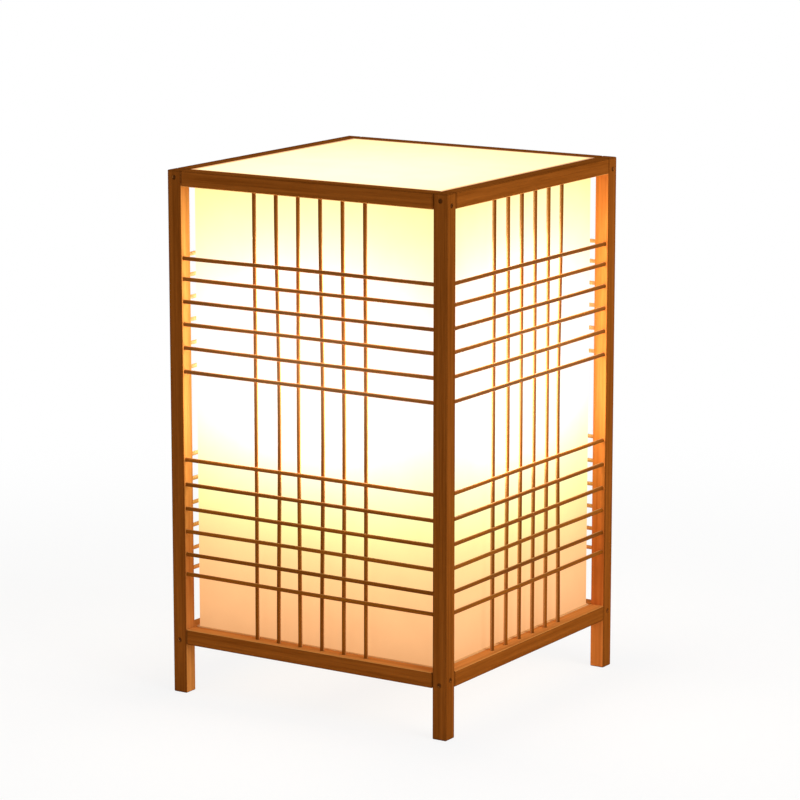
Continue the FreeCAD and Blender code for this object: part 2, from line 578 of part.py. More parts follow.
def make_bulb():
    """The lamp bulb: contact, insulator, screw cap, housing, driver card, board, chips and globe."""
    contact = pin("bulb_contact", "z", "(dims.tip_diameter / 2)", "dims.tip_height", ("0", "0", TIP_Z))
    part(contact, "bulb_contact")
    lathe("bulb_insulator", (
        ("0", INSULATOR_Z),
        ("(dims.insulator_foot / 2)", INSULATOR_Z),
        (PLUG_RADIUS, CAP_Z),
        (PLUG_RADIUS, PLUG_TOP),
        ("0", PLUG_TOP),
    ))
    lathe("bulb_cap", (
        (CAP_BORE, CAP_Z),
        (CAP_RADIUS, CAP_Z),
        (CAP_RADIUS, CAP_TOP),
        (CAP_BORE, CAP_TOP),
    ))
    neck_bore = f"({PLUG_RADIUS} - dims.housing_wall)"
    neck_base = f"({CAP_TOP} - dims.neck_length)"
    shoulder_base = f"({CAP_TOP} + dims.joint_gap)"
    shoulder_top = f"({shoulder_base} + dims.shoulder_height)"
    shoulder = f"({CAP_RADIUS} + dims.shoulder_step)"
    lathe("bulb_housing", (
        (neck_bore, neck_base),
        (PLUG_RADIUS, neck_base),
        (PLUG_RADIUS, shoulder_base),
        (shoulder, shoulder_base),
        (shoulder, shoulder_top),
        (SEAM_RADIUS, RIM_Z),
        (RECESS_RADIUS, RIM_Z),
        (RECESS_RADIUS, BOARD_Z),
        (f"({RECESS_RADIUS} - dims.board_ledge)", BOARD_Z),
        (neck_bore, f"({shoulder_top} + dims.shoulder_height)"),
    ))
    card = box("driver", ("dims.driver_width", "dims.driver_thickness", "dims.driver_height"),
               ("(-dims.driver_width / 2)", "(-dims.driver_thickness / 2)",
                f"({PLUG_TOP} + dims.driver_rise)"))
    part(card, "bulb_driver_card")
    board = pin("board", "z", f"({RECESS_RADIUS} - dims.fit_gap)", "dims.board_thickness",
                ("0", "0", BOARD_Z))
    part(board, "bulb_light_board")
    chips = []
    for index in range(CHIP_COUNT):
        angle = f"({index} * 360deg / {CHIP_COUNT})"
        chips.append(box(f"chip_{index + 1}", ("dims.chip_side", "dims.chip_side", "dims.chip_height"),
                         (f"(dims.chip_ring * cos({angle}) - dims.chip_side / 2)",
                          f"(dims.chip_ring * sin({angle}) - dims.chip_side / 2)",
                          f"({BOARD_Z} + dims.board_thickness)")))
    part(group("bulb_light_chips", chips), "bulb_light_chips")
    outer = doc.addObject("Part::Sphere", "globe_outside")
    bind(outer, Radius="dims.globe_radius", Angle1="(-asin(dims.globe_drop / dims.globe_radius))")
    put(outer, "0", "0", GLOBE_Z)
    inner = doc.addObject("Part::Sphere", "globe_inside")
    bind(inner, Radius="(dims.globe_radius - dims.globe_wall)")
    put(inner, "0", "0", GLOBE_Z)
    part(cut("bulb_globe", outer, [inner]), "bulb_globe")


make_posts()
make_rails()
make_brads()
make_lattice()
make_shade()
make_crossbar()
make_lampholder()
make_bulb()
doc.recompute()

# Nothing is written unless every object is sound
for obj in doc.Objects:
    if "Invalid" in obj.State or "Error" in obj.State:
        raise RuntimeError(f"{obj.Label} failed: {obj.State}")
for piece in parts:
    if piece.Shape.isNull() or not piece.Shape.isValid():
        raise RuntimeError(f"{piece.Label} has no valid shape")

os.makedirs("parts", exist_ok=True)
for piece in parts:
    piece.Shape.exportStep(f"parts/{piece.Label}.step")
    print(f"{piece.Label}: {len(piece.Shape.Solids)} solids, {piece.Shape.Volume:.1f} mm3")
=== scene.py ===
# %% [markdown]
# # A lit bedside lamp
# The lamp is a square lantern: a slim frame of square sticks, a lattice of thin bamboo rods on
# every side, and behind the lattice a box of translucent sheet that glows, because a bulb burns
# inside it.  Frame, rods, sheets, lampholder and bulb arrive finished and at their real sizes, in
# metres, with the floor at z = 0 and the front facing -Y.  What is left to do is to let the rods
# grow a little crooked, to cut the screw threads that the solids leave smooth, to make everything
# look like wood, bamboo, brass and lit parchment, and to set up the light, the floor and the
# camera.

# %% Load the lamp
import math

import bpy
import numpy as np
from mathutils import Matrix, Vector


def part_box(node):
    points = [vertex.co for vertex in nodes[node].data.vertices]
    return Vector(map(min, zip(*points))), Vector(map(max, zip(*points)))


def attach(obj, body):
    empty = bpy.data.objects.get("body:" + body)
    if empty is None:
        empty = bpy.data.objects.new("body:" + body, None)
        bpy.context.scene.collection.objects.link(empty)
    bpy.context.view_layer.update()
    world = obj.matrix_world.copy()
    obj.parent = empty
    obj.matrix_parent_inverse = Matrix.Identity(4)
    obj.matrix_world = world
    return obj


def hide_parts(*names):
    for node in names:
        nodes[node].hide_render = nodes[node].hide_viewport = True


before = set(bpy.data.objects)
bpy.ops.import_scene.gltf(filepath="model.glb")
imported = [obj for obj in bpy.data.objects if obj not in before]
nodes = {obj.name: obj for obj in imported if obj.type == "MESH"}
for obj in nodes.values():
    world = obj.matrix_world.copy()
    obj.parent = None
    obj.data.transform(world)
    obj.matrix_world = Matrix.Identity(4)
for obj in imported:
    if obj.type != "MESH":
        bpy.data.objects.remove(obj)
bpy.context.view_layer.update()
MM = 0.001
SIDES = ("front", "right", "back", "left")
RUNS_ALONG = {"front": "x", "right": "y", "back": "x", "left": "y"}
OUTWARD = {"front": (0, -1), "right": (1, 0), "back": (0, 1), "left": (-1, 0)}

# %% [markdown]
# ## Steps that every finish shares
# A finish is a Principled shader with some unevenness in it, because no real surface has one
# colour and one gloss all over.  Picture textures would need unwrapped pieces; noise in Object
# coordinates needs nothing, since every piece already lies where it belongs, and the pattern runs
# on through a joint or a hole the way real grain does.  So a few small helpers are enough: a blank
# shader, a noise, one step of arithmetic, and the ways to send the result to colour, gloss or
# relief.

# %% Finish helpers
NOISE_LOW = 0.3
NOISE_HIGH = 0.7


def blank_finish(name, colour, roughness, metallic=0.0, specular=0.5):
    """A material with one plain Principled shader; gives back the material, its tree and the shader."""
    finish = bpy.data.materials.new(name)
    finish.use_nodes = True
    tree = finish.node_tree
    shader = tree.nodes["Principled BSDF"]
    shader.inputs["Base Color"].default_value = (*colour, 1.0)
    shader.inputs["Roughness"].default_value = roughness
    shader.inputs["Metallic"].default_value = metallic
    shader.inputs["Specular IOR Level"].default_value = specular
    return finish, tree, shader


def noise(tree, cells, detail=2.0):
    """Noise in the lamp's own coordinates, with so many cells to a metre along x, y and z."""
    place = tree.nodes.new("ShaderNodeTexCoord")
    stretch = tree.nodes.new("ShaderNodeMapping")
    stretch.inputs["Scale"].default_value = cells
    cloud = tree.nodes.new("ShaderNodeTexNoise")
    cloud.inputs["Scale"].default_value = 1.0
    cloud.inputs["Detail"].default_value = detail
    tree.links.new(place.outputs["Object"], stretch.inputs["Vector"])
    tree.links.new(stretch.outputs["Vector"], cloud.inputs["Vector"])
    return cloud.outputs["Fac"]


def cells_along(axis, lengthwise, crosswise):
    """Noise cells to a metre for a pattern that is drawn out along one axis."""
    return tuple(lengthwise if name == axis else crosswise for name in "xyz")


def place_parts(tree):
    """Sockets for the x, y and z of a place, in the lamp's own coordinates."""
    place = tree.nodes.new("ShaderNodeTexCoord")
    split = tree.nodes.new("ShaderNodeSeparateXYZ")
    tree.links.new(place.outputs["Object"], split.inputs["Vector"])
    return split.outputs["X"], split.outputs["Y"], split.outputs["Z"]


def calc(tree, operation, *values):
    """One step of arithmetic; each value is a socket or a plain number."""
    step = tree.nodes.new("ShaderNodeMath")
    step.operation = operation
    for socket, value in zip(step.inputs, values):
        if isinstance(value, bpy.types.NodeSocket):
            tree.links.new(value, socket)
        else:
            socket.default_value = value
    return step.outputs["Value"]


def dot_of(tree, first, second):
    """The product of two vectors: above 0 where they agree, 0 where square, below 0 where opposed."""
    product = tree.nodes.new("ShaderNodeVectorMath")
    product.operation = "DOT_PRODUCT"
    tree.links.new(first, product.inputs[0])
    tree.links.new(second, product.inputs[1])
    return product.outputs["Value"]


def blend_of(tree, first, second, share):
    """The first socket and the second one, added in the shares 1 - share and share."""
    kept = calc(tree, "MULTIPLY", first, 1.0 - share)
    added = calc(tree, "MULTIPLY", second, share)
    return calc(tree, "ADD", kept, added)


def slope(tree, value, start, end, low, high, smooth=False):
    """A value's run from start to end, turned into a run from low to high and level beyond both ends."""
    step = tree.nodes.new("ShaderNodeMapRange")
    step.interpolation_type = "SMOOTHSTEP" if smooth else "LINEAR"
    step.inputs["From Min"].default_value = start
    step.inputs["From Max"].default_value = end
    step.inputs["To Min"].default_value = low
    step.inputs["To Max"].default_value = high
    tree.links.new(value, step.inputs["Value"])
    return step.outputs["Result"]


def spread(tree, value, low, high):
    """A noise's usual range drawn out to run from low to high."""
    return slope(tree, value, NOISE_LOW, NOISE_HIGH, low, high)


def colour_between(tree, factor, dark, light):
    """A colour that runs from dark at 0 to light at 1."""
    ramp = tree.nodes.new("ShaderNodeValToRGB")
    low, high = ramp.color_ramp.elements
    low.color = (*dark, 1.0)
    high.color = (*light, 1.0)
    tree.links.new(factor, ramp.inputs["Fac"])
    return ramp.outputs["Color"]


def laid_over(tree, below, above, share):
    """The colour above laid over the colour below, in the share that a socket gives."""
    layer = tree.nodes.new("ShaderNodeMixRGB")
    tree.links.new(share, layer.inputs["Fac"])
    tree.links.new(below, layer.inputs["Color1"])
    if isinstance(above, bpy.types.NodeSocket):
        tree.links.new(above, layer.inputs["Color2"])
    else:
        layer.inputs["Color2"].default_value = (*above, 1.0)
    return layer.outputs["Color"]


def relief(tree, shader, height, depth):
    """Shallow relief: the noise pushes the surface in and out by up to the depth, in metres."""
    bump = tree.nodes.new("ShaderNodeBump")
    bump.inputs["Distance"].default_value = depth
    tree.links.new(height, bump.inputs["Height"])
    tree.links.new(bump.outputs["Normal"], shader.inputs["Normal"])


def wear(finish, mesh):
    """Give a mesh one finish in place of the materials it has."""
    mesh.materials.clear()
    mesh.materials.append(finish)


def dress(finish, *names):
    """Give a finish to whole nodes of the lamp."""
    for name in names:
        wear(finish, nodes[name].data)


print(f"a noise counts as full from {NOISE_LOW} to {NOISE_HIGH}")

# %% [markdown]
# ## Planed sticks
# Posts, rails and the crossbar are sawn from pressed bamboo, planed square and oiled warm brown.
# Its look is in its fibres: broad faint streaks about a millimetre wide that run the whole length
# of a stick, and hair-thin dark fibres on top of them.  A wood texture of rings would suggest a
# tree.  Two noises drawn out along the stick give streaks and fibres, and on a sawn end the same
# noises are cut across, so the end grain comes by itself.  Each direction of stick needs its own
# copy of the finish.  At the arrises and in the joints the colour darkens, partly as oil that
# gathers there and partly as painted shade, which draws the thin dark lines that set one stick off
# from the next; the Bevel node finds those places by itself, because it asks how much a rounded
# edge would turn the surface.  The faces that look in towards the middle of the shade get a pale
# colour that is painted light from the glowing sheets, and low down between the rails painted
# shade takes that light back towards the oiled colour.  The two front posts come from a darker
# board than the rest, and the painted light on the two back posts is redder.

# %% Finish of the sticks
STICK_DARK = (0.175, 0.044, 0.004)
STICK_LIGHT = (0.320, 0.092, 0.012)
FRONT_POST_OILED = (0.88, 0.88, 0.88)
# Pale colour of the faces that look in: painted light from the glowing sheets, redder on the back posts.
LAMPLIT_DARK = (0.500, 0.185, 0.038)
LAMPLIT_LIGHT = (0.720, 0.300, 0.075)
BACK_POST_LAMPLIT = (1.10, 0.84, 0.70)
STICK_ROUGHNESS = 0.6
# Noise cells to a metre: along the stick, then across it.
STREAK_CELLS = (12, 620)
FIBRE_CELLS = (90, 3400)
FIBRE_SHARE = 0.35
FIBRE_DEPTH = 0.04 * MM
# Darkening along the arrises and in the joints: partly oil, partly painted shade.
OIL_AND_SHADE_LINE = (0.050, 0.012, 0.001)
OIL_AND_SHADE_WIDTH = 1.0 * MM
OIL_AND_SHADE_STRENGTH = 8.0
EDGE_SAMPLES = 8
SHADE_MIDDLE = (0.0, 0.0, 0.140)
# Heights where the painted shade on the inner faces begins, is strongest and is gone again.
LOW_SHADE_FROM = 0.024
LOW_SHADE_MOST = 0.048
LOW_SHADE_TO = 0.130
LOW_SHADE_SHARE = 0.50


def near_edge(tree, width):
    """0 on a flat, rising towards an edge: 1 less the agreement of the flat and the rounded normal."""
    rounded = tree.nodes.new("ShaderNodeBevel")
    rounded.samples = EDGE_SAMPLES
    rounded.inputs["Radius"].default_value = width
    flat = tree.nodes.new("ShaderNodeNewGeometry")
    return calc(tree, "SUBTRACT", 1.0, dot_of(tree, rounded.outputs["Normal"], flat.outputs["Normal"]))


def looks_in(tree):
    """1 where a face looks in towards the middle of the shade, and 0 where it looks out.

    A face looks in when its normal points against the way from the middle to the face, so when
    the product of the two is negative.
    """
    place = tree.nodes.new("ShaderNodeTexCoord")
    way = tree.nodes.new("ShaderNodeVectorMath")
    way.operation = "SUBTRACT"
    tree.links.new(place.outputs["Object"], way.inputs[0])
    way.inputs[1].default_value = SHADE_MIDDLE
    face = tree.nodes.new("ShaderNodeNewGeometry")
    agreement = dot_of(tree, way.outputs["Vector"], face.outputs["Normal"])
    return calc(tree, "LESS_THAN", agreement, 0.0)


def painted_low_shade(tree):
    """The share of painted shade on the inner faces: most low down, and none at the floor or half way
    up.

    It is the smaller of two straight slopes, one that rises with the height and one that falls.
    """
    height = place_parts(tree)[2]
    rising = slope(tree, height, LOW_SHADE_FROM, LOW_SHADE_MOST, 0.0, LOW_SHADE_SHARE)
    falling = slope(tree, height, LOW_SHADE_TO, LOW_SHADE_MOST, 0.0, LOW_SHADE_SHARE)
    return calc(tree, "MINIMUM", rising, falling)


def tinted(colour, shares):
    """A colour with each of its channels taken in a share of its own."""
    return tuple(channel * share for channel, share in zip(colour, shares))


def planed_stick(name, axis, oiled_shares=(1.0, 1.0, 1.0), lamplit_shares=(1.0, 1.0, 1.0)):
    """Pressed bamboo with its fibres along one axis, oiled outside, with edges darkened by oil and
    painted shade, and painted light on its inner faces.
    """
    dark, light = (tinted(colour, oiled_shares) for colour in (STICK_DARK, STICK_LIGHT))
    lamplit_dark, lamplit_light = (tinted(colour, lamplit_shares) for colour in (LAMPLIT_DARK, LAMPLIT_LIGHT))
    finish, tree, shader = blank_finish(name, light, STICK_ROUGHNESS, specular=0.0)
    streaks = noise(tree, cells_along(axis, *STREAK_CELLS))
    fibres = noise(tree, cells_along(axis, *FIBRE_CELLS))
    grain = spread(tree, blend_of(tree, streaks, fibres, FIBRE_SHARE), 0.0, 1.0)
    oiled = colour_between(tree, grain, dark, light)
    # Faces that look in take painted light from the sheets; low down, painted shade takes it back
    # towards the oiled colour.
    lamplit = laid_over(tree, colour_between(tree, grain, lamplit_dark, lamplit_light), oiled, painted_low_shade(tree))
    # The arrises and joints are darkened, partly as oil and partly as painted shade.
    edge = calc(tree, "MULTIPLY", near_edge(tree, OIL_AND_SHADE_WIDTH), OIL_AND_SHADE_STRENGTH)
    oiled_and_shaded = laid_over(tree, oiled, OIL_AND_SHADE_LINE, calc(tree, "MINIMUM", edge, 1.0))
    tree.links.new(laid_over(tree, oiled_and_shaded, lamplit, looks_in(tree)), shader.inputs["Base Color"])
    relief(tree, shader, fibres, FIBRE_DEPTH)
    return finish


stick = {axis: planed_stick(f"planed_stick_{axis}", axis) for axis in "xy"}
stick["front"] = planed_stick("planed_front_post", "z", oiled_shares=FRONT_POST_OILED)
stick["back"] = planed_stick("planed_back_post", "z", lamplit_shares=BACK_POST_LAMPLIT)
dress(stick["front"], "post_front_right", "post_front_left")
dress(stick["back"], "post_back_right", "post_back_left")
for side in SIDES:
    dress(stick[RUNS_ALONG[side]], f"top_rail_{side}", f"bottom_rail_{side}")
dress(stick["y"], "crossbar")
print("sticks dressed:", [finish.name for finish in stick.values()])

# %% [markdown]
# ## Battens and brads
# The battens that carry the sheets stay raw, so they are a shade paler than the frame.  The brads
# are sunk, and their heads are stopped with dark wax, so a matt dark brown shows and no metal.

# %% Finish of battens and brads
BATTEN_DARK = (0.62, 0.36, 0.140)
BATTEN_LIGHT = (0.78, 0.50, 0.220)
BATTEN_ROUGHNESS = 0.65
BATTEN_SHINE = 0.2
BATTEN_CELLS = (40, 1500)
BATTEN_DEPTH = 0.03 * MM
WAX_DARK = (0.065, 0.018, 0.002)
WAX_LIGHT = (0.115, 0.034, 0.005)
WAX_SMOOTHEST = 0.5
WAX_ROUGHEST = 0.75
WAX_SHINE = 0.03
WAX_CELLS = (2500, 2500, 2500)
WAX_DEPTH = 0.05 * MM


def raw_batten(axis):
    """Unfinished strip with faint fibres along one axis."""
    finish, tree, shader = blank_finish(
        f"raw_batten_{axis}", BATTEN_LIGHT, BATTEN_ROUGHNESS, specular=BATTEN_SHINE)
    fibres = noise(tree, cells_along(axis, *BATTEN_CELLS))
    pale = colour_between(tree, spread(tree, fibres, 0.0, 1.0), BATTEN_DARK, BATTEN_LIGHT)
    tree.links.new(pale, shader.inputs["Base Color"])
    relief(tree, shader, fibres, BATTEN_DEPTH)
    return finish


def waxed_brad():
    """Wax over a sunk steel head: dark, matt and a little lumpy."""
    finish, tree, shader = blank_finish("waxed_brad", WAX_LIGHT, WAX_ROUGHEST, specular=WAX_SHINE)
    lumps = noise(tree, WAX_CELLS)
    brown = colour_between(tree, spread(tree, lumps, 0.0, 1.0), WAX_DARK, WAX_LIGHT)
    tree.links.new(brown, shader.inputs["Base Color"])
    tree.links.new(spread(tree, lumps, WAX_SMOOTHEST, WAX_ROUGHEST), shader.inputs["Roughness"])
    relief(tree, shader, lumps, WAX_DEPTH)
    return finish


batten = {axis: raw_batten(axis) for axis in "xy"}
for side in SIDES:
    dress(batten[RUNS_ALONG[side]], f"upper_batten_{side}", f"lower_batten_{side}")
dress(waxed_brad(), "top_joint_brads", "bottom_joint_brads")
print("battens dressed on", len(SIDES), "sides, and the brads")

# %% [markdown]
# ## Lit sheet
# The sheets are parchment-like and translucent, and what one sees of them is the bulb's light
# coming through.  Letting Cycles carry that light through the sheet would be slow and grainy, and
# an exported model would lose it.  The light on a flat sheet near a bulb is simple, though: a
# small source lights a plane by the cube of the cosine, which is one plus the squared distance,
# to the power of minus one and a half.  It fades less quickly upwards, because the bulb's foot
# shades the lower half.  So the sheets glow by themselves, by that law.  The colour of the light
# is the same everywhere, a warm orange; where it is strong it overruns the red and green that a
# screen can show, so the same light reads as peach at the foot of the lamp, as yellow further up,
# and as white beside the bulb.  The finish cuts each channel off there by itself: an edge in front
# of the sheet then blends with what is seen, and not with a hidden, far stronger orange.  The top
# sheet lies on the battens with its rim, and there little light reaches it.

# %% Finish of the sheets
LIGHT_COLOUR = (1.0, 0.50, 0.21)
SHEET_COLOUR = (0.20, 0.11, 0.05)
SHEET_ROUGHNESS = 0.6
SHEET_SHINE = 0.2
SCREEN_WHITE = 1.0
# The brightest level, and the way over which the glow fades; its floor and peaks are times white.
GLOW_HEIGHT = 0.160
GLOW_REACH_UP = 0.057
GLOW_REACH_DOWN = 0.048
GLOW_FLOOR = 0.34
PANEL_PEAK = 10.0
PANEL_REACH_SIDEWAYS = 0.090
TOP_PEAK = 19.0
TOP_REACH_SIDEWAYS = 0.100
TOP_FORWARD = 0.045
RIM_SHARE = 0.3
RIM_BLUR = 1.0 * MM
MOTTLE_CELLS = (60, 60, 60)
MOTTLE_DETAIL = 4.0
MOTTLE_LOW = 0.97
MOTTLE_HIGH = 1.03
SKIN_CELLS = (900, 900, 900)
SHEET_SKIN_DEPTH = 0.02 * MM
panel_face = -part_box("diffuser_front")[0].y


def bulb_light(tree, reach, face, forward=0.0):
    """How much of the bulb's light falls on a place: one plus the squared distance, to the power -1.5.

    The distance is the height above or below the brightest level, over the reach in that
    direction, and the place sideways of the middle, over the sideways reach; the squares of the
    two are added.  A panel stands at the same distance, its face, from the lamp's middle on every
    side, so x squared plus y squared less the square of that distance is its sideways place
    squared.  The top sheet lies across the middle, so its face is nought; its brightest place may
    lie some way forward.
    """
    x, y, z = place_parts(tree)
    rise = calc(tree, "SUBTRACT", z, GLOW_HEIGHT)
    above = calc(tree, "DIVIDE", calc(tree, "MAXIMUM", rise, 0.0), GLOW_REACH_UP)
    below = calc(tree, "DIVIDE", calc(tree, "MINIMUM", rise, 0.0), GLOW_REACH_DOWN)
    upright = calc(tree, "ADD", calc(tree, "POWER", above, 2.0), calc(tree, "POWER", below, 2.0))
    across = calc(tree, "POWER", x, 2.0)
    along = calc(tree, "POWER", calc(tree, "ADD", y, forward), 2.0)
    sideways = calc(tree, "SUBTRACT", calc(tree, "ADD", across, along), face ** 2)
    distance = calc(tree, "ADD", upright, calc(tree, "DIVIDE", sideways, reach ** 2))
    return calc(tree, "POWER", calc(tree, "ADD", distance, 1.0), -1.5)


def rim_light(tree):
    """The share of the light that reaches the top sheet: all of it inside the panels, little beyond."""
    x, y, _ = place_parts(tree)
    outmost = calc(tree, "MAXIMUM", calc(tree, "ABSOLUTE", x), calc(tree, "ABSOLUTE", y))
    return slope(tree, outmost, panel_face - RIM_BLUR, panel_face, 1.0, RIM_SHARE)


def lit_sheet(name, peak, reach, face, forward=0.0, on_battens=False):
    """Sheet that glows with a floor, plus a peak times the bulb's light on it, a little mottled."""
    finish, tree, shader = blank_finish(name, SHEET_COLOUR, SHEET_ROUGHNESS, specular=SHEET_SHINE)
    light = bulb_light(tree, reach, face, forward)
    glow = calc(tree, "ADD", calc(tree, "MULTIPLY", light, peak), GLOW_FLOOR)
    mottle = spread(tree, noise(tree, MOTTLE_CELLS, MOTTLE_DETAIL), MOTTLE_LOW, MOTTLE_HIGH)
    strength = calc(tree, "MULTIPLY", glow, mottle)
    if on_battens:
        strength = calc(tree, "MULTIPLY", strength, rim_light(tree))
    joined = tree.nodes.new("ShaderNodeCombineColor")
    for channel, part in zip(("Red", "Green", "Blue"), LIGHT_COLOUR):
        shown = calc(tree, "MINIMUM", calc(tree, "MULTIPLY", strength, part), SCREEN_WHITE)
        tree.links.new(shown, joined.inputs[channel])
    tree.links.new(joined.outputs["Color"], shader.inputs["Emission Color"])
    shader.inputs["Emission Strength"].default_value = 1.0
    relief(tree, shader, noise(tree, SKIN_CELLS), SHEET_SKIN_DEPTH)
    return finish


lit_panel = lit_sheet("lit_panel", PANEL_PEAK, PANEL_REACH_SIDEWAYS, panel_face)
lit_top = lit_sheet("lit_top", TOP_PEAK, TOP_REACH_SIDEWAYS, 0.0, TOP_FORWARD, on_battens=True)
dress(lit_panel, *(f"diffuser_{side}" for side in SIDES))
dress(lit_top, "diffuser_top")
print(f"panels {panel_face / MM:.1f} mm out, {GLOW_FLOOR + PANEL_PEAK} times white beside the bulb")

# %% [markdown]
# ## Bamboo rods
# The solids have straight round rods, which would look like wire.  A bamboo rod keeps some of the
# bend it grew with: its ends sit in holes, and between them it sways up to two millimetres to one
# side.  It isn't quite round either, as it was split and drawn.  A modifier could bend a straight
# rod, but six rods with six different bends would need six of them.  As grids of rings the rods of
# a node are one array: how far along, how far round, and which rod.  The sway is a squared sine,
# because that is flat at both ends and so leaves the rod straight inside its holes.

# %% Shape of the rods
RINGS = 49
AROUND = 14
SHARP_ANGLE = math.radians(50)
ROD_GAP = 2.0 * MM
AXIS = {"x": 0, "y": 1, "z": 2}
# Sways in millimetres: uprights from left to right, seen from outside, and crosspieces upwards.
UPRIGHT_SWAY = {
    "front": (0.3, 1.2, -0.2, 1.1, 0.6, 0.3),
    "right": (-0.1, 0.6, 0.3, 0.3, 0.1, -1.8),
    "back": (0.7, -0.4, 0.9, 0.2, -0.8, 0.5),
    "left": (-0.6, 0.4, 1.0, -0.3, 0.7, 0.1),
}
CROSSPIECE_SWAY = {
    "upper": (0.1, -0.2, 0.15, 0.0, -0.1, 0.2),
    "lower": (-0.15, 0.1, 0.2, -0.1, 0.0, 0.15),
}
OUT_OF_ROUND = 0.07
FLATS_ROUND = 2
# Phases in radians, over the whole length of a rod or from one rod to the next.
FLATS_TWIST = 3.0
FLATS_NEXT_ROD = 5.0
WAVES_ALONG = 7.0
WAVES_NEXT_ROD = 4.0
TONE_NEXT_ROD = 2.4
TONE_START = 1.7
# Where the painted light on a rod's back begins and is full, on a scale from 1 in front of a rod to -1
# behind it.
BACKLIT_FROM = 0.5
BACKLIT_FULL = -0.1


def linked_piece(name, points, faces):
    """A mesh object at the origin, smooth but for its sharp edges."""
    mesh = bpy.data.meshes.new(name)
    mesh.from_pydata(points.reshape(-1, 3).tolist(), [], faces)
    mesh.shade_smooth()
    mesh.set_sharp_from_angle(angle=SHARP_ANGLE)
    piece = bpy.data.objects.new(name, mesh)
    bpy.context.scene.collection.objects.link(piece)
    return piece


def keep_numbers(piece, name, values, shape):
    """Store one number for each point of a piece, for its finish to read."""
    layer = piece.data.attributes.new(name, "FLOAT", "POINT")
    layer.data.foreach_set("value", np.broadcast_to(values, shape).ravel())


def rod_places(node, across):
    """Middles of a node's rods along one axis.

    The points of the node, sorted along that axis, fall into one bunch for each rod, with empty
    stretches between; a rod's middle is half way between the first and the last of its bunch.
    """
    mesh = nodes[node].data
    flat = np.empty(3 * len(mesh.vertices))
    mesh.vertices.foreach_get("co", flat)
    values = np.sort(flat[across::3])
    bunches = np.split(values, np.flatnonzero(np.diff(values) > ROD_GAP) + 1)
    return np.array([(bunch[0] + bunch[-1]) / 2 for bunch in bunches])


def rod_faces(shape):
    """Faces for rings of points: four-sided walls between rings, and one face at each end of a rod."""
    index = np.arange(math.prod(shape)).reshape(shape)
    onward = np.roll(index, -1, axis=2)
    walls = np.stack((index[:, :-1], onward[:, :-1], onward[:, 1:], index[:, 1:]), axis=-1)
    ends = np.concatenate((index[:, 0, ::-1], index[:, -1]))
    return walls.reshape(-1, 4).tolist() + ends.tolist()


def bent_rods(node, along, across, sway):
    """Rods of a node as rings of points, bent sideways.

    Along a rod the place runs evenly from its one end to the other.  Its middle line lies at the
    rod's own place, plus the sway times the squared sine of half a turn taken over the length.
    Round the rod the radius is the rod's, less a small share that goes in two waves round and in a
    few slow waves along it, so the rod is slightly flat here and there and never too thick for its
    holes.  Where the three axes make a left-handed set, the rings are run through backwards, so
    that the faces look outwards.  Each point keeps the tone of its rod, a sine that steps on from
    rod to rod, and how far it lies behind, which grows from nought to one as the surface turns
    from the viewer towards the sheet.
    """
    low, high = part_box(node)
    through = 3 - along - across
    places = rod_places(node, across)
    rod = np.arange(len(places))[:, None, None]
    share = np.linspace(0.0, 1.0, RINGS)[None, :, None]
    turn = np.linspace(0.0, 2 * np.pi, AROUND, endpoint=False)[None, None, :]
    hand = np.linalg.det(np.eye(3)[[across, through, along]])
    radius = (high[through] - low[through]) / 2
    flats = np.sin(FLATS_ROUND * turn + FLATS_NEXT_ROD * rod + FLATS_TWIST * share)
    waves = flats * np.sin(WAVES_ALONG * share + WAVES_NEXT_ROD * rod)
    girth = radius * (1.0 - OUT_OF_ROUND * (0.5 + 0.5 * waves))
    bend = np.array(sway)[:, None, None] * MM * np.sin(np.pi * share) ** 2
    shape = (len(places), RINGS, AROUND)
    points = np.empty((*shape, 3))
    points[..., along] = low[along] + (high[along] - low[along]) * share
    points[..., across] = places[:, None, None] + bend + girth * np.cos(turn)
    points[..., through] = (low[through] + high[through]) / 2 + hand * girth * np.sin(turn)
    piece = linked_piece(f"{node}_bent", points, rod_faces(shape))
    tone = 0.5 + 0.5 * np.sin(TONE_NEXT_ROD * rod + TONE_START * low[across] / MM)
    outward = np.sign(low[through]) * hand * np.sin(turn)
    # How far a point lies behind sets the share of painted light on the rod's back.
    behind = np.clip((BACKLIT_FROM - outward) / (BACKLIT_FROM - BACKLIT_FULL), 0.0, 1.0)
    keep_numbers(piece, "tone", tone, shape)
    keep_numbers(piece, "behind", behind, shape)
    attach(piece, "lamp")
    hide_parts(node)
    return piece


uprights = []
crosspieces = {"x": [], "y": []}
for side in SIDES:
    run = RUNS_ALONG[side]
    order = 1 if side in ("front", "right") else -1
    upright_sway = order * np.array(UPRIGHT_SWAY[side][::order])
    uprights.append(bent_rods(f"lattice_uprights_{side}", AXIS["z"], AXIS[run], upright_sway))
    for group, sway in CROSSPIECE_SWAY.items():
        node = f"lattice_{group}_crosspieces_{side}"
        crosspieces[run].append(bent_rods(node, AXIS[run], AXIS["z"], sway))
crosspiece_count = sum(map(len, crosspieces.values()))
print("rods bent:", len(uprights), "nodes of uprights and", crosspiece_count, "of crosspieces")

# %% [markdown]
# ## Finish of the rods
# Rods show the same fibres as the sticks, but at two millimetres thick they read as one dark line,
# so what matters is that no two rods have quite the same tone.  Each rod carries one number for
# that, and the fibres are laid over it.  Its back, towards the sheet, gets a pale colour that is
# painted light from the sheet behind, like the inner faces of the sticks; a second number marks it.
# The rods also glow a little, as painted light that grows in front of the brightest part of a
# sheet, by the sheet's own law for the light.

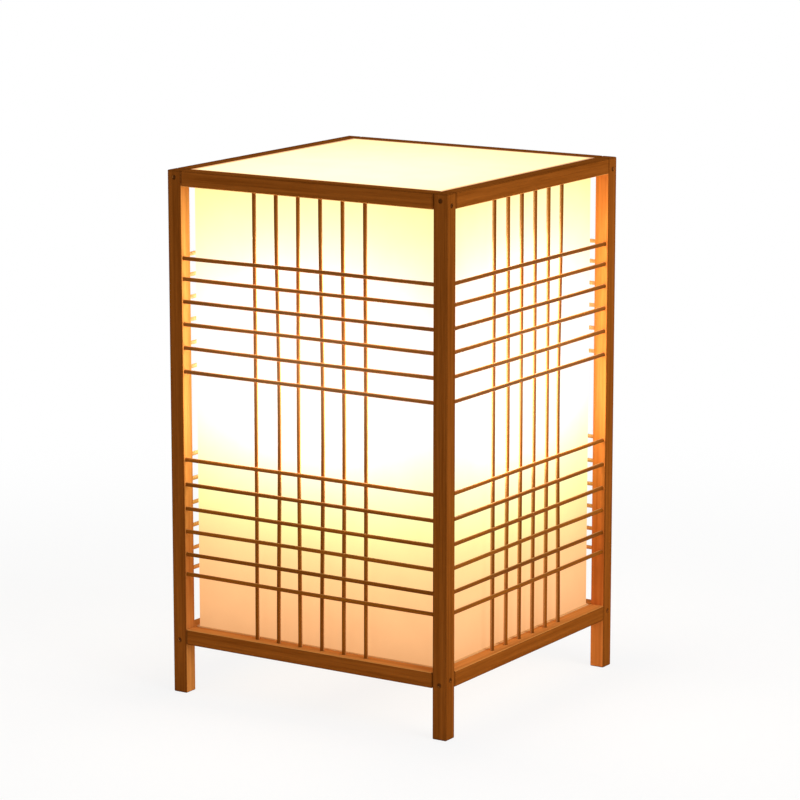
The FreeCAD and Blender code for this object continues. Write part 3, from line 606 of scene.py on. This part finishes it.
# %% Bamboo
ROD_DARK = (0.145, 0.037, 0.001)
ROD_LIGHT = (0.290, 0.083, 0.004)
ROD_BACKLIT = (0.620, 0.330, 0.120)
ROD_SMOOTHEST = 0.4
ROD_ROUGHEST = 0.6
ROD_SHINE = 0.03
ROD_CELLS = (30, 1800)
ROD_FIBRE_SHARE = 0.6
ROD_FIBRE_DEPTH = 0.03 * MM
# The rods' glow is painted light, strongest in front of the bright part of a sheet.
ROD_GLOW_COLOUR = (1.0, 0.78, 0.40)
UPRIGHT_GLOW_SHARE = 0.16
CROSSPIECE_GLOW_SHARE = 0.10


def kept_number(tree, name):
    """The number that a piece keeps under a name at each of its points."""
    layer = tree.nodes.new("ShaderNodeAttribute")
    layer.attribute_name = name
    return layer.outputs["Fac"]


def bamboo(axis, share):
    """Thin round bamboo: the rod's own tone, fibres along one axis, a painted lit back and a painted
    glow.

    The glow is painted light that follows the sheet's law for the light, squared.
    """
    finish, tree, shader = blank_finish(f"bamboo_{axis}", ROD_LIGHT, ROD_ROUGHEST, specular=ROD_SHINE)
    fibres = noise(tree, cells_along(axis, *ROD_CELLS))
    tint = blend_of(tree, kept_number(tree, "tone"), spread(tree, fibres, 0.0, 1.0), ROD_FIBRE_SHARE)
    oiled = colour_between(tree, tint, ROD_DARK, ROD_LIGHT)
    # The back, towards the sheet, takes a pale colour: painted light from the sheet.
    coloured = laid_over(tree, oiled, ROD_BACKLIT, kept_number(tree, "behind"))
    tree.links.new(coloured, shader.inputs["Base Color"])
    tree.links.new(spread(tree, fibres, ROD_SMOOTHEST, ROD_ROUGHEST), shader.inputs["Roughness"])
    # Painted glow: the rods emit light by the sheet's law for the light, squared.
    shader.inputs["Emission Color"].default_value = (*ROD_GLOW_COLOUR, 1.0)
    painted_glow = calc(tree, "POWER", bulb_light(tree, PANEL_REACH_SIDEWAYS, panel_face), 2.0)
    tree.links.new(calc(tree, "MULTIPLY", painted_glow, share), shader.inputs["Emission Strength"])
    relief(tree, shader, fibres, ROD_FIBRE_DEPTH)
    return finish


rod_finish = {axis: bamboo(axis, CROSSPIECE_GLOW_SHARE) for axis in "xy"}
rod_finish["z"] = bamboo("z", UPRIGHT_GLOW_SHARE)
for piece in uprights:
    wear(rod_finish["z"], piece.data)
for run, pieces in crosspieces.items():
    for piece in pieces:
        wear(rod_finish[run], piece.data)
print("rod finishes:", [finish.name for finish in rod_finish.values()])

# %% [markdown]
# ## Screw threads
# Bulb cap, screw shell and hollow tube are smooth sleeves in the solids.  Their threads would be
# costly to sweep there, and nothing rests on them; as surfaces they are cheap.  A sleeve's wall is
# a closed strip, up the outside and down the inside, turned round the axis, so one grid covers it
# with no seam.  A thread is then a wave in the radius that climbs one pitch a turn.  Cap and shell
# are pressed from sheet, so inside and outside wave together; the tube's thread is cut, so its
# bore stays plain.

# %% Threads
TURN_STEPS = 96
BULB_PITCH = 3.629 * MM
PRESSED_SWING = 0.35 * MM
TUBE_PITCH = 1.0 * MM
TUBE_SWING = 0.25 * MM


def threaded_sleeve(node, body, thickness, rows, pitch, rise, swing, plain, pressed):
    """Sleeve with a thread in its wall.

    The radius is that of the plain wall, the outside of the solid or less by the thickness inside,
    plus a share times the sum of the rise and the swing times the cosine of the phase.  The phase
    is a full turn for each pitch of height, less the angle round the axis, which makes the thread
    right-handed.  The share is nought within the plain lengths at the two ends and grows smoothly
    to one over the next pitch.  A cut thread keeps its inside plain.
    """
    low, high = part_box(node)
    outside = high.x
    climb = np.linspace(low.z, high.z, rows)
    height = np.concatenate((climb, climb[::-1]))[:, None]
    wall = np.repeat((outside, outside - thickness), rows)[:, None]
    waved = np.repeat((1.0, 1.0 if pressed else 0.0), rows)[:, None]
    turn = np.linspace(0.0, 2 * np.pi, TURN_STEPS, endpoint=False)[None, :]
    from_end = np.minimum(height - low.z - plain[0], high.z - plain[1] - height)
    share = np.clip(from_end / pitch, 0.0, 1.0)
    share = waved * share ** 2 * (3.0 - 2.0 * share)
    radius = wall + share * (rise + swing * np.cos(2 * np.pi * height / pitch - turn))
    level = np.broadcast_to(height, radius.shape)
    points = np.stack((radius * np.cos(turn), radius * np.sin(turn), level), axis=-1)
    index = np.arange(radius.size).reshape(radius.shape)
    above = np.roll(index, -1, axis=0)
    faces = np.stack((index, np.roll(index, -1, axis=1), np.roll(above, -1, axis=1), above), axis=-1)
    piece = linked_piece(f"{node}_threaded", points, faces.reshape(-1, 4).tolist())
    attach(piece, body)
    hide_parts(node)
    return piece


cap = threaded_sleeve(
    "bulb_cap", "bulb", thickness=0.5 * MM, rows=81, pitch=BULB_PITCH,
    rise=0.0, swing=PRESSED_SWING, plain=(2.0 * MM, 4.0 * MM), pressed=True)
shell = threaded_sleeve(
    "holder_screw_shell", "lamp", thickness=0.4 * MM, rows=101, pitch=BULB_PITCH,
    rise=PRESSED_SWING, swing=PRESSED_SWING, plain=(5.5 * MM, 1.0 * MM), pressed=True)
tube = threaded_sleeve(
    "holder_nipple", "lamp", thickness=1.35 * MM, rows=201, pitch=TUBE_PITCH,
    rise=-TUBE_SWING, swing=TUBE_SWING, plain=(0.0, 0.0), pressed=False)
print("threads cut:", [(piece.name, len(piece.data.polygons)) for piece in (cap, shell, tube)])

# %% [markdown]
# ## Lampholder and bulb
# These sit inside the shade and show from below.  Moulded plastic is almost even in colour, with
# an orange-peel skin; plated metal has fine scratches; ceramic is glossy and flecked.  The globe
# of the bulb glows more strongly than the sheets and is nearer white, since its light has not
# passed the parchment.

# %% Finish of the lampholder and bulb
MOULDED = {
    "ivory_plastic": ((0.72, 0.69, 0.60), 0.45, ("holder_base", "holder_shell")),
    "glazed_ceramic": ((0.80, 0.78, 0.72), 0.20, ("holder_insert",)),
    "black_glass": ((0.012, 0.012, 0.014), 0.15, ("bulb_insulator",)),
    "white_plastic": ((0.80, 0.80, 0.78), 0.50, ("bulb_housing",)),
    "white_lacquer": ((0.82, 0.82, 0.80), 0.35, ("bulb_light_board",)),
    "yellow_phosphor": ((0.85, 0.55, 0.06), 0.30, ("bulb_light_chips",)),
    "green_lacquer": ((0.016, 0.110, 0.034), 0.40, ("bulb_driver_card",)),
}
PEEL_CELLS = (1200, 1200, 1200)
PEEL_DARKER = 0.06
PEEL_GLOSS = (0.85, 1.15)
PEEL_DEPTH = 0.02 * MM
SCRATCH_CELLS = (6000, 150)
SCRATCH_GLOSS = (0.7, 1.4)
SCRATCH_DEPTH = 0.01 * MM
GLOBE_COLOUR = (0.80, 0.74, 0.62)
GLOBE_ROUGHNESS = 0.35
GLOBE_LIGHT = (1.0, 0.72, 0.42)
GLOBE_STRENGTH = 4.0
GLOBE_SKIN_DEPTH = 0.01 * MM


def moulded(name, colour, roughness):
    """Plastic, ceramic or lacquer: nearly one colour, with a fine uneven skin."""
    finish, tree, shader = blank_finish(name, colour, roughness)
    peel = noise(tree, PEEL_CELLS)
    darker = tuple(channel * (1 - PEEL_DARKER) for channel in colour)
    flecked = colour_between(tree, spread(tree, peel, 0.0, 1.0), darker, colour)
    smoothest, roughest = (roughness * share for share in PEEL_GLOSS)
    tree.links.new(flecked, shader.inputs["Base Color"])
    tree.links.new(spread(tree, peel, smoothest, roughest), shader.inputs["Roughness"])
    relief(tree, shader, peel, PEEL_DEPTH)
    return finish


def plated(name, colour, roughness):
    """Metal with fine turned scratches round the lamp's middle axis."""
    finish, tree, shader = blank_finish(name, colour, roughness, metallic=1.0)
    scratches = noise(tree, cells_along("z", *SCRATCH_CELLS))
    smoothest, roughest = (roughness * share for share in SCRATCH_GLOSS)
    tree.links.new(spread(tree, scratches, smoothest, roughest), shader.inputs["Roughness"])
    relief(tree, shader, scratches, SCRATCH_DEPTH)
    return finish


def lit_globe():
    """Opal globe with the lamp's own light in it."""
    finish, tree, shader = blank_finish("lit_globe", GLOBE_COLOUR, GLOBE_ROUGHNESS)
    shader.inputs["Emission Color"].default_value = (*GLOBE_LIGHT, 1.0)
    shader.inputs["Emission Strength"].default_value = GLOBE_STRENGTH
    relief(tree, shader, noise(tree, SKIN_CELLS), GLOBE_SKIN_DEPTH)
    return finish


brass = plated("brass", colour=(0.72, 0.47, 0.17), roughness=0.30)
zinc = plated("zinc", colour=(0.55, 0.56, 0.58), roughness=0.35)
nickel = plated("nickel", colour=(0.66, 0.64, 0.60), roughness=0.28)
wear(nickel, cap.data)
wear(brass, shell.data)
wear(brass, tube.data)
dress(brass, "holder_lower_nut", "holder_upper_nut", "holder_centre_contact")
dress(zinc, "holder_washer", "holder_terminal_screws")
dress(nickel, "bulb_contact")
for name, (colour, roughness, wearers) in MOULDED.items():
    dress(moulded(name, colour, roughness), *wearers)
dress(lit_globe(), "bulb_globe")
print("finishes in all:", len(bpy.data.materials))

# %% [markdown]
# ## Light
# A plain soft studio: the surroundings give even light from everywhere, and two large lamps give
# it a direction, the stronger from the right, because the right-hand sides of the posts are a
# little paler than the left-hand ones.  The lamp's own light matters as much: wherever wood faces a
# sheet it glows.  Beside the bulb the sheets are far brighter than a screen can show; on each panel
# a flat lamp of the size of that bright place, shining outwards, throws the light on the inner
# sides of the posts, the ledges of the bottom rails and the backs of the rods.

# %% Studio lamps
AMBIENT = 0.45
MIDDLE = (0.0, 0.0, 0.125)
STUDIO_SIZE = 1.2
KEY_PLACE = (1.8, -0.2, 1.0)
KEY_POWER = 24.0
FILL_PLACE = (-0.4, -1.9, 0.9)
FILL_POWER = 5.0
BRIGHT_SIZE = 0.110
BRIGHT_POWER = 0.4
BRIGHT_COLOUR = (1.0, 0.90, 0.75)
BRIGHT_HEIGHT = 0.165
BRIGHT_OFF_PANEL = 0.5 * MM


def seen_directly(tree):
    """1 for what the camera sees straight, in a reflection or through glass, and 0 for lighting."""
    path = tree.nodes.new("ShaderNodeLightPath")
    mirrored = calc(tree, "MAXIMUM", path.outputs["Is Glossy Ray"], path.outputs["Is Transmission Ray"])
    return calc(tree, "MAXIMUM", path.outputs["Is Camera Ray"], mirrored)


def studio_world():
    """Surroundings that look pure white and give a softer, even light."""
    world = bpy.data.worlds.new("studio")
    world.use_nodes = True
    tree = world.node_tree
    backdrop = tree.nodes["Background"]
    backdrop.inputs["Color"].default_value = (1.0, 1.0, 1.0, 1.0)
    shown = calc(tree, "MULTIPLY", seen_directly(tree), 1.0 - AMBIENT)
    tree.links.new(calc(tree, "ADD", shown, AMBIENT), backdrop.inputs["Strength"])
    return world


def area_lamp(name, place, target, size, power, colour=(1.0, 1.0, 1.0)):
    """A square lamp of a size at a place, turned to face a target."""
    data = bpy.data.lights.new(name, "AREA")
    data.size = size
    data.energy = power
    data.color = colour
    lamp = bpy.data.objects.new(name, data)
    lamp.location = place
    lamp.rotation_euler = (Vector(target) - Vector(place)).to_track_quat("-Z", "Y").to_euler()
    bpy.context.scene.collection.objects.link(lamp)


bpy.context.scene.world = studio_world()
area_lamp("key", KEY_PLACE, MIDDLE, STUDIO_SIZE, KEY_POWER)
area_lamp("fill", FILL_PLACE, MIDDLE, STUDIO_SIZE, FILL_POWER)
bright_out = panel_face + BRIGHT_OFF_PANEL
for side, (x, y) in OUTWARD.items():
    place = (x * bright_out, y * bright_out, BRIGHT_HEIGHT)
    ahead = (2 * x * bright_out, 2 * y * bright_out, BRIGHT_HEIGHT)
    area_lamp(f"bright_place_{side}", place, ahead, BRIGHT_SIZE, BRIGHT_POWER, BRIGHT_COLOUR)

# %% [markdown]
# ## Floor
# The lamp stands on a plain pale floor without an edge or a horizon.  A curved backdrop would do
# it from one side only; a wide disc that turns to pure white with distance does it from every
# side.  Close to the lamp the floor is a matt white that takes its shadow, but only for a part:
# the orange pools that the lamp throws on it would otherwise outshine the lamp.  From underneath
# it lets a view through, because the lampholder and the bulb can only be looked at from there.

# %% Floor
FLOOR_RADIUS = 6.0
FLOOR_STEPS = 96
FLOOR_COLOUR = (0.85, 0.85, 0.85)
FLOOR_ROUGHNESS = 0.9
FADE_FROM = 0.12
FADE_TO = 0.60
WHITE_NEAR = 0.84


def disc(name, radius, around):
    """A flat disc on the ground: one middle point, and a rim at equal angles."""
    turn = np.linspace(0.0, 2 * np.pi, around, endpoint=False)
    rim = np.column_stack((radius * np.cos(turn), radius * np.sin(turn), np.zeros(around)))
    points = np.vstack((np.zeros(3), rim))
    step = np.arange(around)
    faces = np.column_stack((np.zeros(around, int), 1 + step, 1 + (step + 1) % around))
    return linked_piece(name, points, faces.tolist())


def mixed(tree, share, first, second):
    """The first shader where the share is 0, and the second where it is 1."""
    blend = tree.nodes.new("ShaderNodeMixShader")
    tree.links.new(share, blend.inputs["Fac"])
    tree.links.new(first, blend.inputs[1])
    tree.links.new(second, blend.inputs[2])
    return blend.outputs["Shader"]


def pale_floor():
    """Matt near the lamp, pure white further off, and clear from underneath."""
    finish, tree, shader = blank_finish("pale_floor", FLOOR_COLOUR, FLOOR_ROUGHNESS, specular=0.0)
    white = tree.nodes.new("ShaderNodeEmission")
    white.inputs["Color"].default_value = (1.0, 1.0, 1.0, 1.0)
    place = tree.nodes.new("ShaderNodeTexCoord")
    reach = tree.nodes.new("ShaderNodeVectorMath")
    reach.operation = "LENGTH"
    tree.links.new(place.outputs["Object"], reach.inputs[0])
    fade = slope(tree, reach.outputs["Value"], FADE_FROM, FADE_TO, WHITE_NEAR, 1.0, smooth=True)
    whiteness = calc(tree, "MULTIPLY", fade, seen_directly(tree))
    upside = mixed(tree, whiteness, shader.outputs["BSDF"], white.outputs["Emission"])
    clear = tree.nodes.new("ShaderNodeBsdfTransparent")
    from_below = tree.nodes.new("ShaderNodeNewGeometry").outputs["Backfacing"]
    clearness = calc(tree, "MULTIPLY", from_below, seen_directly(tree))
    surface = mixed(tree, clearness, upside, clear.outputs["BSDF"])
    tree.links.new(surface, tree.nodes["Material Output"].inputs["Surface"])
    return finish


floor = disc("floor", FLOOR_RADIUS, FLOOR_STEPS)
wear(pale_floor(), floor.data)
print("floor of", FLOOR_RADIUS, "m, white from", FADE_TO, "m out")

# %% [markdown]
# ## Camera
# The view is from the front right corner and a little above, far off with a long lens, so that
# the uprights stay nearly parallel.

# %% Camera
EYE = (0.8659, -1.3473, 0.4597)
AIM = (0.0, 0.0042, 0.1356)
LENS = 155.154
SENSOR = 36.0

view = bpy.data.cameras.new("view")
view.lens = LENS
view.sensor_width = SENSOR
camera = bpy.data.objects.new("camera", view)
camera.location = EYE
camera.rotation_euler = (Vector(AIM) - Vector(EYE)).to_track_quat("-Z", "Y").to_euler()
bpy.context.scene.collection.objects.link(camera)
bpy.context.scene.camera = camera
bpy.context.scene.view_settings.view_transform = "Standard"
print(f"camera {(Vector(AIM) - Vector(EYE)).length:.2f} m away")
